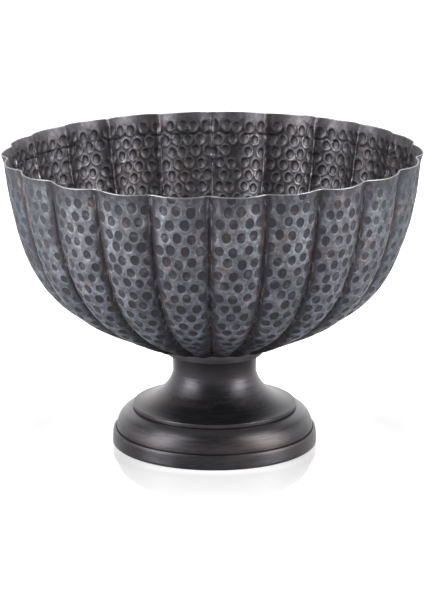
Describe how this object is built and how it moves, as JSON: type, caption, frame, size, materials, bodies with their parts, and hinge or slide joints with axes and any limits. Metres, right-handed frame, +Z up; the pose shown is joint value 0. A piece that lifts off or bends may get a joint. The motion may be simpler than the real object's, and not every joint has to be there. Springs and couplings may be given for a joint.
{
  "type": "pedestal bowl",
  "caption": "Fluted, punch-hammered sheet bowl bolted to a spun pedestal foot with a turned collar, an overhanging lip, a rounded skirt and a base band.",
  "frame": {"origin": "centre of the circle on which the base band stands, at the lowest face", "axes": "+Z up along the bowl's axis, -Y the front seen in the reference view, +X to its right"},
  "size_m": [0.4012, 0.398, 0.2854],
  "materials": {
    "hammered_copper": "sheet copper, blackened to an antique gunmetal tone, high spots wiped lighter, punch marks left dark",
    "spun_copper": "spun copper, blackened, satin with fine turning lines and a faint brown cast",
    "bare_copper": "copper plate with dull brazing tarnish",
    "steel": "plain zinc-plated steel fastener"
  },
  "bodies": {
    "root": {"bowl": "hammered_copper", "backing_disc": "bare_copper", "stud": "steel", "neck_collar": "spun_copper", "stem": "spun_copper", "foot_skirt": "spun_copper", "base_ring": "spun_copper", "clamp_plate": "steel", "flat_washer": "steel", "spring_washer": "steel", "hex_nut": "steel"}
  },
  "joints": []
}
